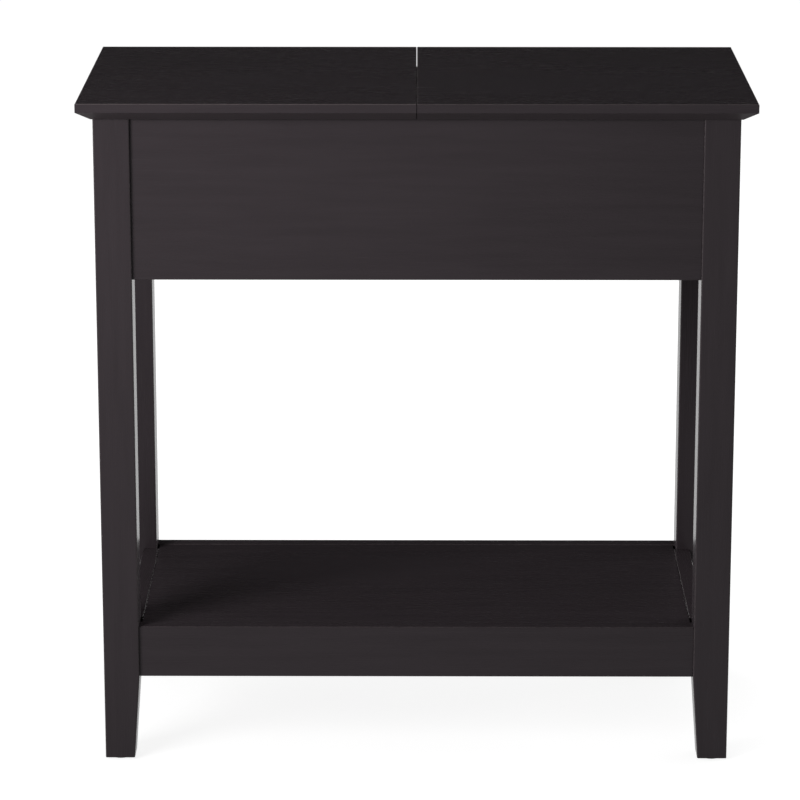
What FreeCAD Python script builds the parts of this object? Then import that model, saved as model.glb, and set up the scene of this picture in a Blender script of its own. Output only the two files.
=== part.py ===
import FreeCAD, Part
import math
import os

import Sketcher

# A narrow end table.  Its top is in two halves with a fine split between them: the right half is
# fixed, and the left half is a lid that lifts on two butt hinges behind the back apron and opens
# the storage box inside the aprons.  A shelf in its own frame of rails ties the legs near the floor.
#
# Millimetres, +Z up.  X runs along the front from left to right and Y from front to back.  The
# origin is on the floor, under the middle of the top.

Vector = FreeCAD.Vector
Rotation = FreeCAD.Rotation

SIZES = (
    ("top_width", 600, "both halves of the top and the split, left to right"),
    ("top_depth", 305, "top, front to back"),
    ("table_height", 615, "floor to the face of the top"),
    ("top_thickness", 16, "each half of the top"),
    ("top_overhang", 14, "from the legs' outer faces to the edge of the top"),
    ("bevel_drop", 8, "height of the bevel under the top's outer edges"),
    ("bevel_run", 12.5, "width of that bevel"),
    ("top_arris", 0.8, "rounding of the edges round the face of the top"),
    ("split_gap", 0.6, "between the lid and the fixed half"),
    ("leg_side", 32.5, "square of a leg above its taper"),
    ("leg_foot", 27, "square of a leg at its foot"),
    ("leg_arris", 1.5, "rounding of a leg's long edges"),
    ("apron_height", 146, "aprons round the storage box"),
    ("apron_thickness", 15, "aprons"),
    ("apron_setback", 3, "from a leg's outer face to an apron's face"),
    ("rail_bottom", 80, "floor to the rails of the shelf, where the legs' taper starts"),
    ("rail_height", 48, "rails round the shelf"),
    ("rail_thickness", 15, "rails round the shelf"),
    ("rail_setback", 3, "from a leg's face to the front or back rail"),
    ("side_rail_setback", 19.5, "from a leg's outer side to the side rail"),
    ("board_arris", 1, "rounding of the long edges of aprons and rails"),
    ("shelf_thickness", 12, "shelf panel"),
    ("shelf_drop", 0.5, "shelf panel's face below the top of the rails"),
    ("floor_thickness", 6, "floor of the storage box"),
    ("panel_clearance", 0.3, "round the shelf panel and the box floor"),
    ("cleat_side", 12, "square of the cleats under the two panels"),
    ("cleat_lift", 2, "floor cleats above the bottom edge of the aprons"),
    ("cleat_end_gap", 40, "from a leg to the end of a cleat"),
    ("cross_rail_height", 45, "cross rail under the split"),
    ("cross_rail_thickness", 15, "cross rail under the split"),
    ("dowel_diameter", 8, "dowels of the aprons"),
    ("dowel_length", 30, "dowels of the aprons"),
    ("dowel_edge", 25, "from an apron's edge to its dowel"),
    ("rail_dowel_diameter", 6, "dowels of the rails"),
    ("rail_dowel_length", 28, "dowels of the rails"),
    ("rail_dowel_edge", 10, "from a rail's edge to its dowel"),
    ("cross_dowel_length", 18, "dowels of the cross rail"),
    ("dowel_chamfer", 1, "ends of a dowel"),
    ("bore_clearance", 0.05, "round every dowel, bolt, screw and pin, on the radius"),
    ("bore_end", 0.5, "left empty past the end of a dowel, bolt or screw"),
    ("cam_diameter", 15, "cam discs"),
    ("cam_depth", 12, "pocket of a cam disc"),
    ("cam_reach", 24, "from the end of a board to its cam disc"),
    ("cam_bolt_diameter", 6, "thread and head of a cam bolt"),
    ("cam_bolt_neck", 4, "neck of a cam bolt"),
    ("cam_bolt_thread", 11, "length of a cam bolt in the leg"),
    ("cam_bolt_head", 5, "length of a cam bolt's head"),
    ("cam_slot_width", 1.6, "screwdriver slots of a cam disc"),
    ("cam_slot_length", 9, "screwdriver slots of a cam disc"),
    ("cam_slot_depth", 1.5, "screwdriver slots of a cam disc"),
    ("hinge_length", 40, "butt hinges"),
    ("hinge_leaf", 16, "from the pin's axis to the edge of a leaf"),
    ("hinge_plate", 1.5, "thickness of a leaf"),
    ("hinge_corner", 2, "rounded corners of a leaf"),
    ("hinge_leg_distance", 33.5, "from the left leg to the middle of the left hinge"),
    ("hinge_split_distance", 80, "from the split to the middle of the right hinge"),
    ("pin_diameter", 3, "hinge pins"),
    ("pin_head_diameter", 4.6, "heads at the ends of a hinge pin"),
    ("pin_head_height", 0.8, "heads at the ends of a hinge pin"),
    ("knuckles", 5, "knuckles of a hinge, counted over both leaves"),
    ("knuckle_gap", 0.2, "between one knuckle and the next"),
    ("knuckle_clearance", 0.3, "from the barrel to the apron and to the lid"),
    ("hinge_screw_drop", 9.5, "from the pin's axis to the screws of a leaf"),
    ("hinge_screw_spacing", 22, "between the two screws of a leaf"),
    ("screw_diameter", 3, "every screw"),
    ("screw_head_diameter", 6, "every screw"),
    ("screw_head_height", 1.5, "every screw"),
    ("screw_point", 2, "length of a screw's point"),
    ("short_screw_length", 11, "screws of the hinges and of the brackets"),
    ("long_screw_length", 20, "screws of the cleats"),
    ("cleat_screw_spacing", 160, "between the screws of a cleat"),
    ("shelf_screw_spacing", 240, "between the screws that hold the shelf panel down"),
    ("bracket_leg", 20, "angle brackets under the fixed half of the top"),
    ("bracket_width", 16, "angle brackets"),
    ("bracket_plate", 2, "thickness of an angle bracket"),
    ("bracket_hole", 12, "from a bracket's corner to its screws"),
    ("bracket_leg_distance", 43.5, "from the right leg to the middle of the right bracket"),
    ("bracket_split_distance", 92, "from the split to the middle of the left bracket"),
    ("bumper_diameter", 8, "bumpers under the lid"),
    ("bumper_depth", 3, "bumpers under the lid"),
    ("bumper_leg_distance", 13.5, "from the left leg to the middle of the left bumper"),
    ("bumper_split_distance", 60, "from the split to the middle of the right bumper"),
    ("glide_diameter", 20, "glides under the feet"),
    ("glide_thickness", 2, "glides under the feet"),
    ("glide_chamfer", 0.7, "lower edge of a glide"),
    ("nail_diameter", 2.4, "nail of a glide"),
    ("nail_length", 12, "nail of a glide"),
)

# Places that follow from those sizes.
LAYOUT = (
    ("frame_top", "sizes.table_height - sizes.top_thickness"),
    ("leg_outer_x", "sizes.top_width / 2 - sizes.top_overhang"),
    ("leg_outer_y", "sizes.top_depth / 2 - sizes.top_overhang"),
    ("leg_inner_x", "leg_outer_x - sizes.leg_side"),
    ("leg_inner_y", "leg_outer_y - sizes.leg_side"),
    ("apron_bottom", "frame_top - sizes.apron_height"),
    ("apron_face_x", "leg_outer_x - sizes.apron_setback"),
    ("apron_face_y", "leg_outer_y - sizes.apron_setback"),
    ("apron_inner_x", "apron_face_x - sizes.apron_thickness"),
    ("apron_inner_y", "apron_face_y - sizes.apron_thickness"),
    ("rail_top", "sizes.rail_bottom + sizes.rail_height"),
    ("rail_face_y", "leg_outer_y - sizes.rail_setback"),
    ("rail_inner_y", "rail_face_y - sizes.rail_thickness"),
    ("side_rail_face_x", "leg_outer_x - sizes.side_rail_setback"),
    ("side_rail_inner_x", "side_rail_face_x - sizes.rail_thickness"),
    ("long_length", "2 * leg_inner_x"),
    ("short_length", "2 * leg_inner_y"),
    ("floor_bottom", "apron_bottom + sizes.cleat_lift + sizes.cleat_side"),
    ("shelf_bottom", "rail_top - sizes.shelf_drop - sizes.shelf_thickness"),
    ("cleat_length", "long_length - 2 * sizes.cleat_end_gap"),
    ("half_width", "(sizes.top_width - sizes.split_gap) / 2"),
    ("knuckle_radius", "sizes.pin_diameter / 2 + sizes.bore_clearance + sizes.hinge_plate"),
    ("hinge_offset", "knuckle_radius + sizes.knuckle_clearance"),
    ("hinge_axis_y", "apron_face_y + hinge_offset"),
    ("hinge_axis_z", "frame_top - hinge_offset"),
    ("hinge_left_x", "sizes.hinge_leg_distance - leg_inner_x"),
    ("hinge_right_x", "-sizes.hinge_split_distance"),
    ("bracket_left_x", "sizes.bracket_split_distance"),
    ("bracket_right_x", "leg_inner_x - sizes.bracket_leg_distance"),
    ("bumper_left_x", "sizes.bumper_leg_distance - leg_inner_x"),
    ("bumper_right_x", "-sizes.bumper_split_distance"),
    ("knuckle_pitch", "sizes.hinge_length / sizes.knuckles"),
)

ALONG = {
    "+x": Rotation(Vector(0, 1, 0), 90),
    "-x": Rotation(Vector(0, 1, 0), -90),
    "+y": Rotation(Vector(1, 0, 0), -90),
    "-y": Rotation(Vector(1, 0, 0), 90),
    "+z": Rotation(),
    "-z": Rotation(Vector(1, 0, 0), 180),
}
LEFT = FRONT = -1
RIGHT = BACK = 1
CUT_MARGIN = 1  # how far a cutting tool starts outside the solid
NEAR = 0.01  # two heights this close are the same

document = FreeCAD.newDocument("lift_top_end_table")
subparts = []
seats = {}


def fill_sheet(name, rows):
    """A spreadsheet of named cells."""
    sheet = document.addObject("Spreadsheet::Sheet", name)
    for number, (alias, content, meaning) in enumerate(rows, 1):
        sheet.set(f"A{number}", alias)
        sheet.set(f"B{number}", content)
        sheet.setAlias(f"B{number}", alias)
        sheet.set(f"C{number}", meaning)
    return sheet


sizes = fill_sheet("sizes", [(name, str(size), meaning) for name, size, meaning in SIZES])
layout = fill_sheet("layout", [(name, "=" + formula, "") for name, formula in LAYOUT])
document.recompute()


def new_body(label, keep=True):
    """An empty body.  Only the bodies that are kept become sub-parts."""
    body = document.addObject("PartDesign::Body", label)
    body.Label = label
    if keep:
        subparts.append(body)
    return body


def locate(thing, x="0", y="0", z="0"):
    """Binds where a thing stands."""
    for axis, place in zip("xyz", (x, y, z)):
        thing.setExpression(f"Placement.Base.{axis}", place)


def bind(thing, **expressions):
    for name, expression in expressions.items():
        thing.setExpression(name, expression)


def outline(body, name, plane, corners, lift="0"):
    """A closed outline of straight lines on one of the body's origin planes.

    Each corner is a pair of expressions, and lift is how far the outline stands off the plane.
    """
    sketch = body.newObject("Sketcher::SketchObject", name)
    support = [feature for feature in body.Origin.OriginFeatures if feature.Role == plane]
    sketch.AttachmentSupport = (support[0], [""])
    sketch.MapMode = "FlatFace"
    sketch.setExpression("AttachmentOffset.Base.z", lift)
    count = len(corners)
    turns = [2 * math.pi * number / count for number in range(count)]
    start = [Vector(math.cos(turn), math.sin(turn), 0) for turn in turns]
    for number in range(count):
        sketch.addGeometry(Part.LineSegment(start[number], start[(number + 1) % count]), False)
    for number in range(count):
        sketch.addConstraint(Sketcher.Constraint("Coincident", number, 2, (number + 1) % count, 1))
    for number, corner in enumerate(corners):
        for kind, axis, place in zip(("DistanceX", "DistanceY"), (-2, -1), corner):
            if place == "0":
                sketch.addConstraint(Sketcher.Constraint("PointOnObject", number, 1, axis))
            else:
                constraint = Sketcher.Constraint(kind, -1, 1, number, 1, 1.0)
                index = sketch.addConstraint(constraint)
                sketch.setExpression(f"Constraints[{index}]", place)
    return sketch


def rectangle(body, name, plane, low, high, lift="0"):
    """A rectangle between two opposite corners."""
    corners = (low, (high[0], low[1]), high, (low[0], high[1]))
    return outline(body, name, plane, corners, lift)


def pad(body, sketch, length, middle=False):
    feature = body.newObject("PartDesign::Pad", "Pad")
    feature.Profile = sketch
    feature.setExpression("Length", length)
    feature.Midplane = middle
    return feature


def loft(body, first, last):
    """A solid with flat sides between two outlines."""
    feature = body.newObject("PartDesign::AdditiveLoft", "Loft")
    feature.Profile = first
    feature.Sections = [last]
    feature.Ruled = True
    return feature


def revolve(body, corners):
    """A solid turned round the body's Z axis, from an outline of radius and height."""
    feature = body.newObject("PartDesign::Revolution", "Revolution")
    sketch = outline(body, "Profile", "XZ_Plane", corners)
    feature.Profile = sketch
    feature.ReferenceAxis = (sketch, ["V_Axis"])
    feature.Angle = 360
    return feature


def round_edges(body, radius, wanted):
    """Rounds the edges of the body that the wanted test picks."""
    document.recompute()
    base = body.Tip
    edges = base.Shape.Edges
    names = [f"Edge{number}" for number, edge in enumerate(edges, 1) if wanted(edge)]
    feature = body.newObject("PartDesign::Fillet", "Arris")
    feature.Base = (base, names)
    feature.setExpression("Radius", radius)
    return feature


def runs_along(axis):
    """A test for straight edges that run mostly along one axis."""
    def test(edge):
        run = edge.Vertexes[-1].Point - edge.Vertexes[0].Point
        return abs(run.dot(axis)) > 0.9 * run.Length
    return test


def bore(body, name, diameter, depth, mouth, direction, seat=None):
    """A round hole from its mouth into the body.  A fastener can take its seat there."""
    feature = body.newObject("PartDesign::SubtractiveCylinder", name)
    bind(feature, Radius=f"({diameter}) / 2 + sizes.bore_clearance", Height=depth)
    feature.Placement.Rotation = ALONG[direction]
    locate(feature, *mouth)
    if seat:
        seats.setdefault(seat, []).append((body, feature))
    return feature


def cut_box(body, name, low, size):
    """A box-shaped cut from its lowest corner."""
    feature = body.newObject("PartDesign::SubtractiveBox", name)
    bind(feature, Length=size[0], Width=size[1], Height=size[2])
    locate(feature, *low)
    return feature


def group(label, master, placements):
    """Identical pieces at several places, kept as one sub-part."""
    copies = []
    for placement in placements:
        copy = master.Shape.copy()
        copy.Placement = placement.multiply(master.Placement)
        copies.append(copy)
    feature = document.addObject("Part::Feature", label)
    feature.Label = label
    feature.Shape = Part.makeCompound(copies)
    subparts.append(feature)
    return feature


def seats_of(name):
    """Where the bores that were made for these fasteners have ended up."""
    return [body.Placement.multiply(feature.Placement) for body, feature in seats[name]]


# ---------------------------------------------------------------- legs

DOWEL_BORE = "sizes.dowel_length / 2 + sizes.bore_end"
RAIL_DOWEL_BORE = "sizes.rail_dowel_length / 2 + sizes.bore_end"
CROSS_DOWEL_BORE = "sizes.cross_dowel_length / 2 + sizes.bore_end"
THREAD_BORE = "sizes.cam_bolt_thread + sizes.bore_end"
APRON_JOINT_HEIGHTS = (
    "layout.apron_bottom + sizes.dowel_edge",
    "layout.frame_top - sizes.dowel_edge",
    "layout.apron_bottom + sizes.apron_height / 2",
)
RAIL_JOINT_HEIGHTS = (
    "sizes.rail_bottom + sizes.rail_dowel_edge",
    "layout.rail_top - sizes.rail_dowel_edge",
    "sizes.rail_bottom + sizes.rail_height / 2",
)


def leg(label, side_x, side_y):
    """A square leg.  Below the rails its two inner faces taper to the foot."""
    def inward(distance, side):
        """A place that lies this far in from the leg's outer face."""
        return distance if side < 0 else f"sizes.leg_side - ({distance})"

    def square(name, side, lift):
        low = (inward("0", side_x), inward("0", side_y))
        high = (inward(side, side_x), inward(side, side_y))
        return rectangle(body, name, "XY_Plane", low, high, lift)

    body = new_body(label)
    locate(
        body,
        "-layout.leg_outer_x" if side_x == LEFT else "layout.leg_inner_x",
        "-layout.leg_outer_y" if side_y == FRONT else "layout.leg_inner_y",
        "sizes.glide_thickness",
    )
    knee = "sizes.rail_bottom - sizes.glide_thickness"
    loft(body, square("Foot", "sizes.leg_foot", "0"), square("Knee", "sizes.leg_side", knee))
    pad(body, square("Shaft", "sizes.leg_side", knee), "layout.frame_top - sizes.rail_bottom")
    round_edges(body, "sizes.leg_arris", runs_along(Vector(0, 0, 1)))

    def joint_bores(name, from_face, heights, dowel, dowel_bore, into_x):
        """Two dowel bores and the bore of a cam bolt, in the inner face that a board meets."""
        bores = ((dowel, dowel_bore), (dowel, dowel_bore), ("sizes.cam_bolt_diameter", THREAD_BORE))
        for number, ((diameter, depth), height) in enumerate(zip(bores, heights), 1):
            up = f"{height} - sizes.glide_thickness"
            if into_x:
                mouth = (inward("sizes.leg_side", side_x), inward(from_face, side_y), up)
                direction = "-x" if side_x == LEFT else "+x"
            else:
                mouth = (inward(from_face, side_x), inward("sizes.leg_side", side_y), up)
                direction = "-y" if side_y == FRONT else "+y"
            bore(body, f"{name}{number}", diameter, depth, mouth, direction)

    apron_middle = "sizes.apron_setback + sizes.apron_thickness / 2"
    rail_middle = "sizes.rail_setback + sizes.rail_thickness / 2"
    side_rail_middle = "sizes.side_rail_setback + sizes.rail_thickness / 2"
    apron_dowel = ("sizes.dowel_diameter", DOWEL_BORE)
    rail_dowel = ("sizes.rail_dowel_diameter", RAIL_DOWEL_BORE)
    joint_bores("LongApron", apron_middle, APRON_JOINT_HEIGHTS, *apron_dowel, True)
    joint_bores("SideApron", apron_middle, APRON_JOINT_HEIGHTS, *apron_dowel, False)
    joint_bores("LongRail", rail_middle, RAIL_JOINT_HEIGHTS, *rail_dowel, True)
    joint_bores("SideRail", side_rail_middle, RAIL_JOINT_HEIGHTS, *rail_dowel, False)
    foot_middle = (inward("sizes.leg_foot / 2", side_x), inward("sizes.leg_foot / 2", side_y), "0")
    nail_bore = "sizes.nail_length + sizes.bore_end"
    bore(body, "Nail", "sizes.nail_diameter", nail_bore, foot_middle, "+z", "foot_glides")


for row, side_y in (("front", FRONT), ("back", BACK)):
    for side, side_x in (("left", LEFT), ("right", RIGHT)):
        leg(f"leg_{row}_{side}", side_x, side_y)


# ---------------------------------------------------------------- aprons and rails

def joined_board(label, family, length, height, thickness, dowel, dowel_bore, edge, turn, place):
    """A board between two legs, with dowels and a cam disc at each end.

    The board lies along its own X with its outer face at Y = 0, and is turned about Z.
    """
    body = new_body(label)
    body.Placement.Rotation = Rotation(Vector(0, 0, 1), turn)
    locate(body, *place)
    pad(body, rectangle(body, "Plan", "XY_Plane", ("0", "0"), (length, thickness)), height)
    round_edges(body, "sizes.board_arris", runs_along(Vector(1, 0, 0)))
    middle = f"{thickness} / 2"
    for end, mouth_x, cam_x, direction in (
        ("Start", "0", "sizes.cam_reach", "+x"),
        ("End", length, f"{length} - sizes.cam_reach", "-x"),
    ):
        for number, up in enumerate((edge, f"{height} - {edge}"), 1):
            mouth = (mouth_x, middle, up)
            bore(body, f"Dowel{end}{number}", dowel, dowel_bore, mouth, direction, f"{family}_dowels")
        centre = f"{height} / 2"
        mouth = (mouth_x, middle, centre)
        bolt = "sizes.cam_bolt_diameter"
        bore(body, f"Bolt{end}", bolt, "sizes.cam_reach", mouth, direction, f"{family}_cam_bolts")
        mouth = (cam_x, thickness, centre)
        disc = "sizes.cam_diameter"
        bore(body, f"Cam{end}", disc, "sizes.cam_depth", mouth, "-y", f"{family}_cam_discs")
    return body


def apron(label, length, turn, place):
    return joined_board(
        label, "apron", length, "sizes.apron_height", "sizes.apron_thickness",
        "sizes.dowel_diameter", DOWEL_BORE, "sizes.dowel_edge", turn, place,
    )


def rail(label, length, turn, place):
    return joined_board(
        label, "rail", length, "sizes.rail_height", "sizes.rail_thickness",
        "sizes.rail_dowel_diameter", RAIL_DOWEL_BORE, "sizes.rail_dowel_edge", turn, place,
    )


def frame_places(face_x, face_y, bottom):
    """The turn and corner of the front, back, left and right board of a frame."""
    return {
        "front": (0, ("-layout.leg_inner_x", f"-{face_y}", bottom)),
        "back": (180, ("layout.leg_inner_x", face_y, bottom)),
        "left": (-90, (f"-{face_x}", "layout.leg_inner_y", bottom)),
        "right": (90, (face_x, "-layout.leg_inner_y", bottom)),
    }


aprons = {}
apron_places = frame_places("layout.apron_face_x", "layout.apron_face_y", "layout.apron_bottom")
for name, (turn, place) in apron_places.items():
    run = "layout.long_length" if name in ("front", "back") else "layout.short_length"
    aprons[name] = apron(f"{name}_apron", run, turn, place)

rails = {}
rail_places = frame_places("layout.side_rail_face_x", "layout.rail_face_y", "sizes.rail_bottom")
for name, (turn, place) in rail_places.items():
    run = "layout.long_length" if name in ("front", "back") else "layout.short_length"
    rails[name] = rail(f"shelf_{name}_rail", run, turn, place)


def along_board(name, x):
    """A place across the table, measured along the front or back board from where it starts."""
    return f"layout.leg_inner_x + {x}" if name == "front" else f"layout.leg_inner_x - ({x})"


# ---------------------------------------------------------------- cross rail under the split

cross_rail = new_body("top_cross_rail")
cross_rail.Placement.Rotation = Rotation(Vector(0, 0, 1), 90)
locate(
    cross_rail,
    "sizes.cross_rail_thickness / 2",
    "-layout.apron_inner_y",
    "layout.frame_top - sizes.cross_rail_height",
)
cross_length = "2 * layout.apron_inner_y"
cross_plan = (cross_length, "sizes.cross_rail_thickness")
pad(
    cross_rail,
    rectangle(cross_rail, "Plan", "XY_Plane", ("0", "0"), cross_plan),
    "sizes.cross_rail_height",
)
round_edges(cross_rail, "sizes.board_arris", runs_along(Vector(1, 0, 0)))
cross_dowel_heights = ("sizes.rail_dowel_edge", "sizes.cross_rail_height - sizes.rail_dowel_edge")
for number, up in enumerate(cross_dowel_heights, 1):
    across = "sizes.cross_rail_thickness / 2"
    for end, mouth_x, direction in (("Start", "0", "+x"), ("End", cross_length, "-x")):
        bore(
            cross_rail, f"Dowel{end}{number}", "sizes.rail_dowel_diameter", CROSS_DOWEL_BORE,
            (mouth_x, across, up), direction, "cross_dowels",
        )
    for name in ("front", "back"):
        mouth = (
            along_board(name, "0"),
            "sizes.apron_thickness",
            f"sizes.apron_height - sizes.cross_rail_height + {up}",
        )
        diameter = "sizes.rail_dowel_diameter"
        bore(aprons[name], f"CrossDowel{number}", diameter, CROSS_DOWEL_BORE, mouth, "-y")


# ---------------------------------------------------------------- panels and their cleats

def notched_corners():
    """The outline of a panel that fills the aprons and is cut away round the four legs."""
    far_x = "(layout.apron_inner_x - sizes.panel_clearance)"
    far_y = "(layout.apron_inner_y - sizes.panel_clearance)"
    near_x = "(layout.leg_inner_x - sizes.panel_clearance)"
    near_y = "(layout.leg_inner_y - sizes.panel_clearance)"
    corner = ((near_x, far_y), (near_x, near_y), (far_x, near_y))
    corners = []
    for sign_x, sign_y, order in (("", "", 1), ("", "-", -1), ("-", "-", 1), ("-", "", -1)):
        corners += [(sign_x + x, sign_y + y) for x, y in corner[::order]]
    return corners


storage_floor = new_body("storage_floor")
locate(storage_floor, z="layout.floor_bottom")
floor_plan = outline(storage_floor, "Plan", "XY_Plane", notched_corners())
pad(storage_floor, floor_plan, "sizes.floor_thickness")

shelf_panel = new_body("shelf_panel")
locate(shelf_panel, z="layout.shelf_bottom")
shelf_x = "(layout.side_rail_inner_x - sizes.panel_clearance)"
shelf_y = "(layout.rail_inner_y - sizes.panel_clearance)"
shelf_plan = rectangle(
    shelf_panel, "Plan", "XY_Plane", (f"-{shelf_x}", f"-{shelf_y}"), (shelf_x, shelf_y)
)
pad(shelf_panel, shelf_plan, "sizes.shelf_thickness")

CLEAT_SCREW_BORE = "sizes.long_screw_length - sizes.cleat_side + sizes.bore_end"
THROUGH_CLEAT = "sizes.cleat_side"


def cleat(label, family, name, board, inner_y, bottom, board_bottom):
    """A square strip under the edge of a panel, screwed to the inside of a front or back board."""
    body = new_body(label)
    body.Placement.Rotation = Rotation(Vector(0, 0, 1), 0 if name == "front" else 180)
    sign = "-" if name == "front" else ""
    locate(body, f"{sign}layout.cleat_length / 2", f"{sign}{inner_y}", bottom)
    plan = rectangle(body, "Plan", "XY_Plane", ("0", "0"), ("layout.cleat_length", "sizes.cleat_side"))
    pad(body, plan, "sizes.cleat_side")
    round_edges(body, "sizes.board_arris", runs_along(Vector(1, 0, 0)))
    up = "sizes.cleat_side / 2"
    for number, step in enumerate((-1, 0, 1), 1):
        x = f"{step} * sizes.cleat_screw_spacing"
        mouth = (f"layout.cleat_length / 2 + {x}", "sizes.cleat_side", up)
        bore(body, f"Screw{number}", "sizes.screw_diameter", THROUGH_CLEAT, mouth, "-y", f"{family}_screws")
        mouth = (f"layout.leg_inner_x + {x}", "sizes.apron_thickness", f"{bottom} + {up} - {board_bottom}")
        bore(board, f"Cleat{number}", "sizes.screw_diameter", CLEAT_SCREW_BORE, mouth, "-y")
    return body


for name in ("front", "back"):
    cleat(
        f"floor_cleat_{name}", "floor_cleat", name, aprons[name], "layout.apron_inner_y",
        "(layout.floor_bottom - sizes.cleat_side)", "layout.apron_bottom",
    )
    shelf_cleat = cleat(
        f"shelf_cleat_{name}", "shelf_cleat", name, rails[name], "layout.rail_inner_y",
        "(layout.shelf_bottom - sizes.cleat_side)", "sizes.rail_bottom",
    )
    for number, step in enumerate((-0.5, 0.5), 1):
        x = f"{step} * sizes.shelf_screw_spacing"
        mouth = (f"layout.cleat_length / 2 + {x}", "sizes.cleat_side / 2", "0")
        bore(
            shelf_cleat, f"Shelf{number}", "sizes.screw_diameter", THROUGH_CLEAT, mouth, "+z",
            "shelf_screws",
        )
        y = "(layout.rail_inner_y - sizes.cleat_side / 2)"
        mouth = (x, f"-{y}" if name == "front" else y, "0")
        diameter = "sizes.screw_diameter"
        bore(shelf_panel, f"Screw_{name}{number}", diameter, CLEAT_SCREW_BORE, mouth, "+z")


# ---------------------------------------------------------------- the two halves of the top

def top_half(label, side, left_x):
    """Half of the top, bevelled under its three outer edges.  The edge at the split is square."""
    width = "layout.half_width"
    depth = "sizes.top_depth"
    run = "sizes.bevel_run"
    flat_left = run if side == LEFT else "0"
    flat_right = width if side == LEFT else f"{width} - {run}"
    body = new_body(label)
    locate(body, left_x, "-sizes.top_depth / 2", "layout.frame_top")
    under = rectangle(
        body, "Under", "XY_Plane", (flat_left, run), (flat_right, f"{depth} - {run}")
    )
    whole = rectangle(body, "Whole", "XY_Plane", ("0", "0"), (width, depth), "sizes.bevel_drop")
    edge = rectangle(body, "Edge", "XY_Plane", ("0", "0"), (width, depth), "sizes.bevel_drop")
    loft(body, under, whole)
    pad(body, edge, "sizes.top_thickness - sizes.bevel_drop")
    document.recompute()
    face = body.Tip.Shape.BoundBox.ZMax

    def at_the_face(edge):
        return edge.CenterOfMass.z > face - NEAR

    round_edges(body, "sizes.top_arris", at_the_face)
    return body


lid = top_half("lid_panel", LEFT, "-sizes.top_width / 2")
fixed_top = top_half("fixed_top", RIGHT, "sizes.split_gap / 2")


# ---------------------------------------------------------------- hinges

FRAME_KNUCKLES = 0
LID_KNUCKLES = 1
HINGE_SCREW_BORE = "sizes.short_screw_length - sizes.hinge_plate + sizes.bore_end"


def hinge_leaf(label, family, first_knuckle, direction, x):
    """One leaf of a butt hinge, with every second knuckle.

    The pin's axis is the body's X axis.  The leaf hangs down from it with its back to -Y, and
    direction turns it to its place.
    """
    body = new_body(label)
    body.Placement.Rotation = direction
    locate(body, x, "layout.hinge_axis_y", "layout.hinge_axis_z")
    back = "-layout.hinge_offset"
    face = "sizes.hinge_plate - layout.hinge_offset"
    plate = rectangle(body, "Plate", "YZ_Plane", (back, "-sizes.hinge_leaf"), (face, "0"))
    pad(body, plate, "sizes.hinge_length", middle=True)
    document.recompute()
    low = body.Tip.Shape.BoundBox.ZMin

    def lower_corner(edge):
        return runs_along(Vector(0, 1, 0))(edge) and edge.CenterOfMass.z < low + NEAR

    round_edges(body, "sizes.hinge_corner", lower_corner)
    barrel = body.newObject("PartDesign::AdditiveCylinder", "Barrel")
    bind(barrel, Radius="layout.knuckle_radius", Height="sizes.hinge_length")
    barrel.Placement.Rotation = ALONG["+x"]
    locate(barrel, x="-sizes.hinge_length / 2")
    pin_mouth = ("-sizes.hinge_length / 2", "0", "0")
    bore(body, "Pin", "sizes.pin_diameter", "sizes.hinge_length", pin_mouth, "+x")
    reach = "(layout.hinge_offset + 1)"
    for number in range(1 - first_knuckle, int(sizes.knuckles), 2):
        start = f"{number} * layout.knuckle_pitch - (sizes.hinge_length + sizes.knuckle_gap) / 2"
        cut_box(
            body, f"Notch{number}",
            (start, f"-{reach}", "-layout.hinge_offset"),
            ("layout.knuckle_pitch + sizes.knuckle_gap", f"2 * {reach}", f"2 * {reach}"),
        )
    for number, side in enumerate((-0.5, 0.5), 1):
        hole = body.newObject("PartDesign::SubtractiveCone", f"Screw{number}")
        bind(
            hole,
            Radius1="sizes.screw_head_diameter / 2 + sizes.bore_clearance",
            Radius2="sizes.screw_diameter / 2 + sizes.bore_clearance",
            Height="sizes.hinge_plate",
        )
        hole.Placement.Rotation = ALONG["-y"]
        locate(hole, f"{side} * sizes.hinge_screw_spacing", face, "-sizes.hinge_screw_drop")
        seats.setdefault(family, []).append((body, hole))
    return body


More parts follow.
